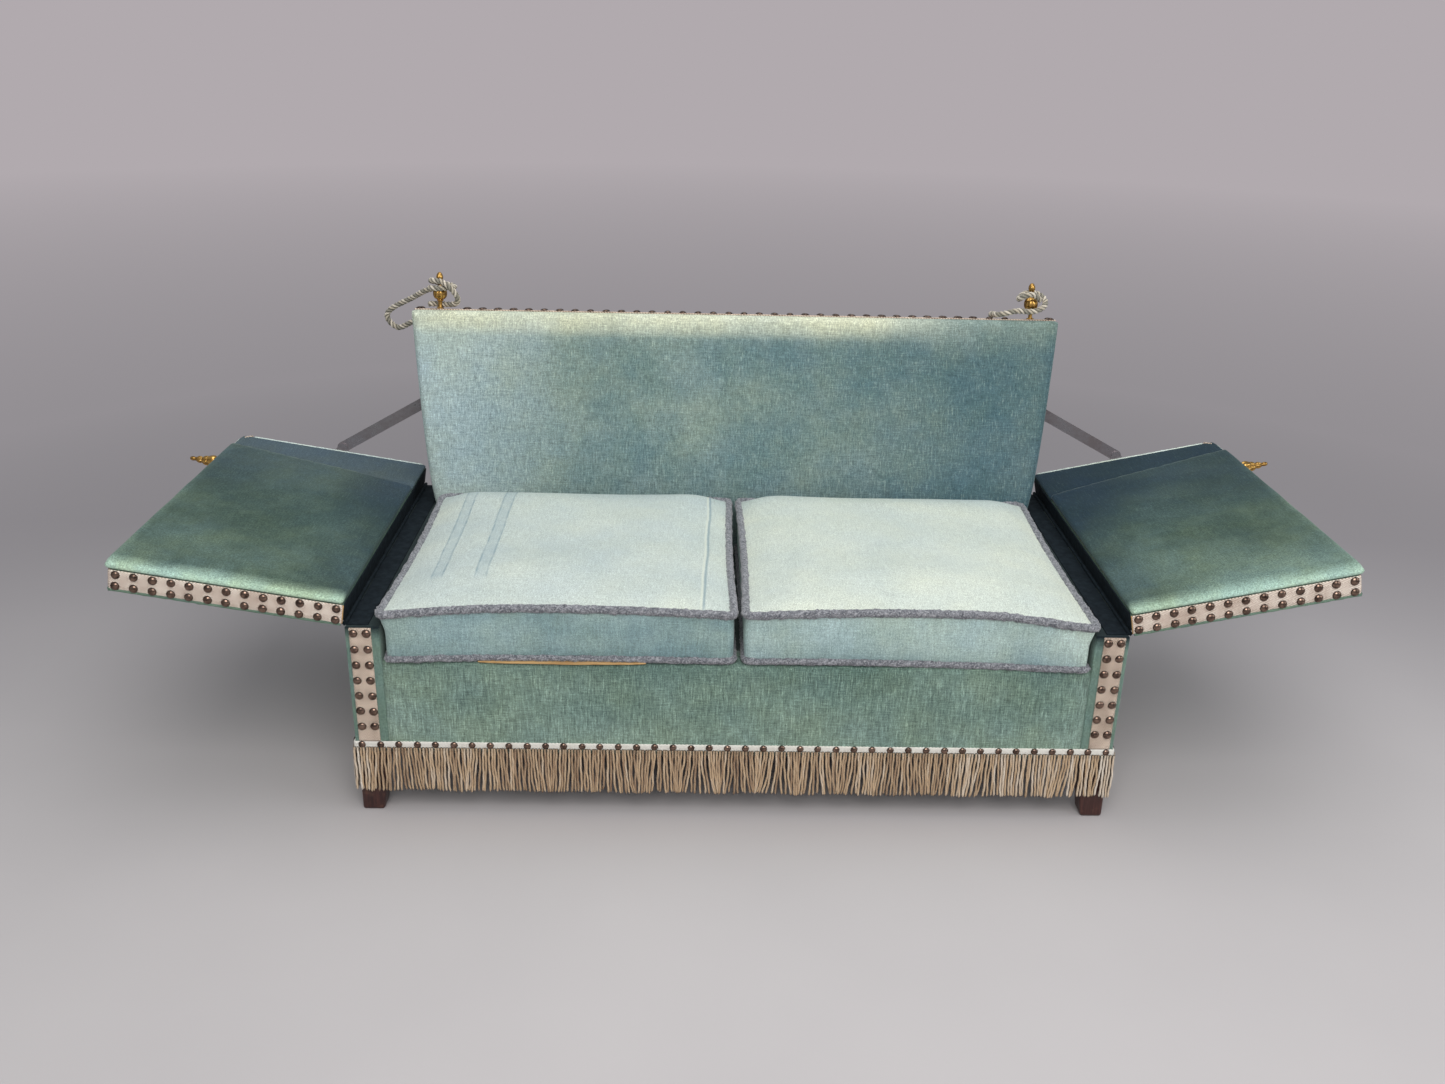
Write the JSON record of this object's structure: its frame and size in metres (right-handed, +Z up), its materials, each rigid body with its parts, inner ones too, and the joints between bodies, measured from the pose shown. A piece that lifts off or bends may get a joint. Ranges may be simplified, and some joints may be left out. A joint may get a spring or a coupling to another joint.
{
  "type": "knole sofa",
  "caption": "Upholstered sofa with a high back, loose seat cushions and side arms that drop outward on long hinges, held by sliding steel stays; cords at the back's corners.",
  "frame": {"origin": "bottom centre of the sofa's box without the tie cords, at floor level", "axes": "+X across the sofa to the sitter's-view right of the picture, +Y from the front towards the back, +Z up"},
  "size_m": [2.8858, 0.9453, 1.0743],
  "materials": {
    "velvet": "velvet",
    "dark_velvet": "dark velvet",
    "pale_velvet": "pale velvet",
    "linen": "linen and jute",
    "braid": "woven braid with brass nails",
    "fringe": "twisted bullion",
    "beech": "planed",
    "dark_wood": "dark polish",
    "gilt_brass": "gilt",
    "steel": "dull",
    "cord": "twisted cord"
  },
  "bodies": {
    "sofa": {"back_left_finial": "gilt_brass", "back_left_stile": "beech", "back_pad": "velvet", "back_right_finial": "gilt_brass", "back_right_stile": "beech", "back_top_braid": "braid", "back_top_rail": "beech", "bullion_fringe": "fringe", "dust_cover": "dark_velvet", "fringe_heading": "braid", "front_apron": "velvet", "front_left_foot": "dark_wood", "front_left_post": "beech", "front_right_foot": "dark_wood", "front_right_post": "beech", "front_seat_rail": "beech", "left_hinge_pin": "steel", "left_hinge_rail": "beech", "left_hinge_wall_leaf": "gilt_brass", "left_post_braid": "braid", "left_seat_rail": "beech", "left_side_cover": "velvet", "left_stay_keeper": "steel", "left_tie_cord": "cord", "rear_cover": "dark_velvet", "rear_left_foot": "dark_wood", "rear_left_post": "beech", "rear_right_foot": "dark_wood", "rear_right_post": "beech", "rear_seat_rail": "beech", "right_hinge_pin": "steel", "right_hinge_rail": "beech", "right_hinge_wall_leaf": "gilt_brass", "right_post_braid": "braid", "right_seat_rail": "beech", "right_side_cover": "velvet", "right_stay_keeper": "steel", "right_tie_cord": "cord", "seat_platform": "linen", "seat_webbing": "linen"},
    "left_arm": {"left_arm_cover": "dark_velvet", "left_arm_frame": "beech", "left_arm_pad": "pale_velvet", "left_arm_front_band": "braid", "left_arm_edge_braid": "braid", "left_arm_finial": "gilt_brass", "left_hinge_arm_leaf": "gilt_brass", "left_stay_bracket": "steel"},
    "right_arm": {"right_arm_cover": "dark_velvet", "right_arm_frame": "beech", "right_arm_pad": "pale_velvet", "right_arm_front_band": "braid", "right_arm_edge_braid": "braid", "right_arm_finial": "gilt_brass", "right_hinge_arm_leaf": "gilt_brass", "right_stay_bracket": "steel"},
    "left_stay": {"left_stay_strap": "steel"},
    "right_stay": {"right_stay_strap": "steel"},
    "left_cushion": {"left_cushion": "pale_velvet"},
    "right_cushion": {"right_cushion": "pale_velvet"}
  },
  "joints": [
    {"name": "left_arm_hinge", "type": "hinge", "parent": "sofa", "child": "left_arm", "pos_m": [-0.85429, 0, 0.4755], "axis": [0, 1, 0], "range_deg": [0, 72]},
    {"name": "right_arm_hinge", "type": "hinge", "parent": "sofa", "child": "right_arm", "pos_m": [0.86171, 0, 0.4755], "axis": [0, -1, 0], "range_deg": [0, 68.8]},
    {"name": "left_stay_rivet", "type": "hinge", "parent": "left_arm", "child": "left_stay", "pos_m": [-1.08164, 0.4553, 0.57428], "axis": [0, 1, 0], "range_deg": [-43, 0]},
    {"name": "right_stay_rivet", "type": "hinge", "parent": "right_arm", "child": "right_stay", "pos_m": [1.08318, 0.4553, 0.58682], "axis": [0, -1, 0], "range_deg": [-43, 0]},
    {"name": "left_cushion_lift", "type": "slide", "parent": "sofa", "child": "left_cushion", "axis": [0, 0, 1], "range_m": [0, 0.25]},
    {"name": "right_cushion_lift", "type": "slide", "parent": "sofa", "child": "right_cushion", "axis": [0, 0, 1], "range_m": [0, 0.25]}
  ],
  "couplings": [
    {"joint": "left_stay_rivet", "follows": "left_arm_hinge", "ratio": -0.5876},
    {"joint": "right_stay_rivet", "follows": "right_arm_hinge", "ratio": -0.5894}
  ]
}
